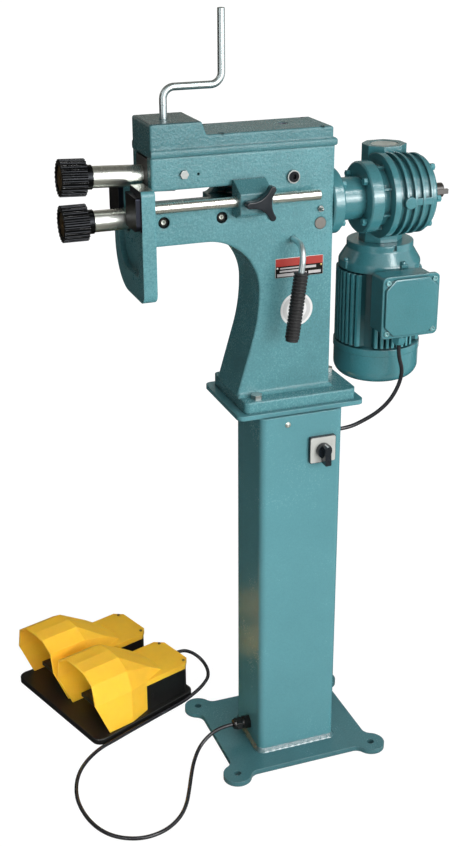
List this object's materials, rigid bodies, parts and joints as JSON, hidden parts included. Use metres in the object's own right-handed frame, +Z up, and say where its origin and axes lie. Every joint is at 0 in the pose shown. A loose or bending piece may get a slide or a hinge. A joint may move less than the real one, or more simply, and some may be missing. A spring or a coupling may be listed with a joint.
{
  "type": "swage jenny",
  "caption": "Powered swage jenny: geared swaging rolls on a throated cast body with crank, edge gauge and gear motor, on a floor pedestal with a guarded twin foot switch.",
  "frame": {"origin": "centre of the pedestal's four floor bolts, on the floor", "axes": "+Z up; +X from the rolls to the gearbox; +Y from the operator's side to the back"},
  "size_m": [0.7389, 0.6161, 1.334],
  "materials": {
    "casting_paint": "hammered",
    "pedestal_paint": "satin",
    "drive_paint": "satin",
    "bright_steel": "polished",
    "dark_steel": "machined",
    "black_oxide": "black oxide",
    "fastener_steel": "zinc plated",
    "bronze": "machined",
    "iron": "machined",
    "black_plastic": "moulded",
    "silver_plate": "brushed",
    "yellow_guard": "moulded",
    "grip_rubber": "ribbed",
    "cable_rubber": "satin"
  },
  "bodies": {
    "frame": {"base_plate": "pedestal_paint", "pedestal_column": "pedestal_paint", "top_plate": "pedestal_paint", "hex_bolts": "fastener_steel", "body_casting": "casting_paint", "top_cover": "casting_paint", "socket_screws": "dark_steel", "crank_nut": "bronze", "pivot_screws": "black_oxide", "return_springs": "dark_steel", "lower_bushes": "bronze", "body_screws": "black_oxide", "grease_nipple": "fastener_steel", "side_plug": "fastener_steel", "gauge_bracket": "casting_paint", "gearbox_adapter": "drive_paint", "gearbox_housing": "drive_paint", "gearbox_cover": "drive_paint", "gearbox_bearings": "dark_steel", "motor_bell": "drive_paint", "motor_frame": "drive_paint", "stator_core": "iron", "motor_cowl": "drive_paint", "terminal_box": "drive_paint", "terminal_lid": "drive_paint", "motor_cable": "cable_rubber", "cable_glands": "black_plastic", "switch_base": "black_plastic", "switch_face": "silver_plate", "pedal_base": "black_plastic", "pedal_housings": "black_plastic", "pedal_cover_near": "yellow_guard", "pedal_cover_far": "yellow_guard", "pedal_cable": "cable_rubber"},
    "thrust_pad": {"thrust_pad": "dark_steel"},
    "crank": {"crank_screw": "bright_steel"},
    "rocker": {"rocker_arm": "iron", "rocker_bushes": "bronze"},
    "upper_spindle": {"upper_shaft": "bright_steel", "upper_roll": "black_oxide", "upper_roll_cap": "bronze", "upper_gear": "dark_steel"},
    "shift_ring": {"shift_ring": "dark_steel"},
    "lower_spindle": {"lower_shaft": "bright_steel", "lower_roll": "black_oxide", "lower_roll_cap": "bronze", "lower_gear": "dark_steel", "drive_key": "bright_steel"},
    "lever": {"lever_rod": "bright_steel", "lever_grip": "grip_rubber", "shift_fork": "iron"},
    "worm_wheel": {"worm_wheel": "bronze"},
    "motor_rotor": {"motor_rotor": "iron"},
    "gauge": {"gauge_casting": "casting_paint", "gauge_faces": "dark_steel", "gauge_rod": "bright_steel"},
    "gauge_knob": {"gauge_knob": "black_plastic"},
    "switch_knob": {"switch_knob": "black_plastic"},
    "treadle_near": {"treadle_near": "black_plastic"},
    "treadle_far": {"treadle_far": "black_plastic"}
  },
  "joints": [
    {"name": "thrust_slide", "type": "slide", "parent": "frame", "child": "thrust_pad", "axis": [0, 0, -1], "range_m": [0, 0.00626]},
    {"name": "crank_turn", "type": "hinge", "parent": "thrust_pad", "child": "crank", "pos_m": [-0.204, 0.0235, 1.14], "axis": [0, 0, -1], "range_deg": [0, 900]},
    {"name": "rocker_tilt", "type": "hinge", "parent": "frame", "child": "rocker", "pos_m": [-0.0055, 0.0235, 1.077], "axis": [0, -1, 0], "range_deg": [0, 1.81], "deforming": ["return_springs"]},
    {"name": "upper_spin", "type": "hinge", "parent": "rocker", "child": "upper_spindle", "pos_m": [-0.0055, 0.0235, 1.077], "axis": [0.999, 0, -0.0436], "continuous": true},
    {"name": "shift_slide", "type": "slide", "parent": "frame", "child": "shift_ring", "axis": [1, 0, 0], "range_m": [-0.0042, 0.0042]},
    {"name": "lower_spin", "type": "hinge", "parent": "shift_ring", "child": "lower_spindle", "pos_m": [0, 0.0235, 1.021], "axis": [1, 0, 0], "continuous": true},
    {"name": "lever_swing", "type": "hinge", "parent": "frame", "child": "lever", "pos_m": [-0.004, 0, 0.975], "axis": [0, 1, 0], "range_deg": [-10, 10]},
    {"name": "wheel_spin", "type": "hinge", "parent": "frame", "child": "worm_wheel", "pos_m": [0.204, 0.0235, 1.021], "axis": [1, 0, 0], "continuous": true},
    {"name": "motor_spin", "type": "hinge", "parent": "frame", "child": "motor_rotor", "pos_m": [0.204, 0.0735, 1], "axis": [0, 0, 1], "continuous": true},
    {"name": "gauge_slide", "type": "slide", "parent": "frame", "child": "gauge", "axis": [-1, 0, 0], "range_m": [0, 0.04]},
    {"name": "gauge_clamp", "type": "hinge", "parent": "frame", "child": "gauge_knob", "pos_m": [-0.074, -0.07, 1.049], "axis": [0, 1, 0], "range_deg": [-180, 0]},
    {"name": "switch_turn", "type": "hinge", "parent": "frame", "child": "switch_knob", "pos_m": [0.0355, -0.08, 0.616], "axis": [0, -1, 0], "range_deg": [-60, 60]},
    {"name": "treadle_near_press", "type": "hinge", "parent": "frame", "child": "treadle_near", "pos_m": [-0.23672, 0.18422, 0.038], "axis": [0.3322, -0.9432, 0], "range_deg": [0, 8], "stiffness_Nm_per_rad": 6, "springref_deg": -5.73},
    {"name": "treadle_far_press", "type": "hinge", "parent": "frame", "child": "treadle_far", "pos_m": [-0.28438, 0.31957, 0.038], "axis": [0.3322, -0.9432, 0], "range_deg": [0, 8], "stiffness_Nm_per_rad": 6, "springref_deg": -5.73}
  ],
  "couplings": [
    {"joint": "thrust_slide", "follows": "crank_turn", "m_per_rad": 0.00039789},
    {"joint": "rocker_tilt", "follows": "crank_turn", "ratio": 0.0020045},
    {"joint": "shift_slide", "follows": "lever_swing", "m_per_rad": 0.024},
    {"joint": "lower_spin", "follows": "motor_spin", "ratio": 0.05},
    {"joint": "upper_spin", "follows": "motor_spin", "ratio": -0.05},
    {"joint": "wheel_spin", "follows": "motor_spin", "ratio": 0.05}
  ]
}
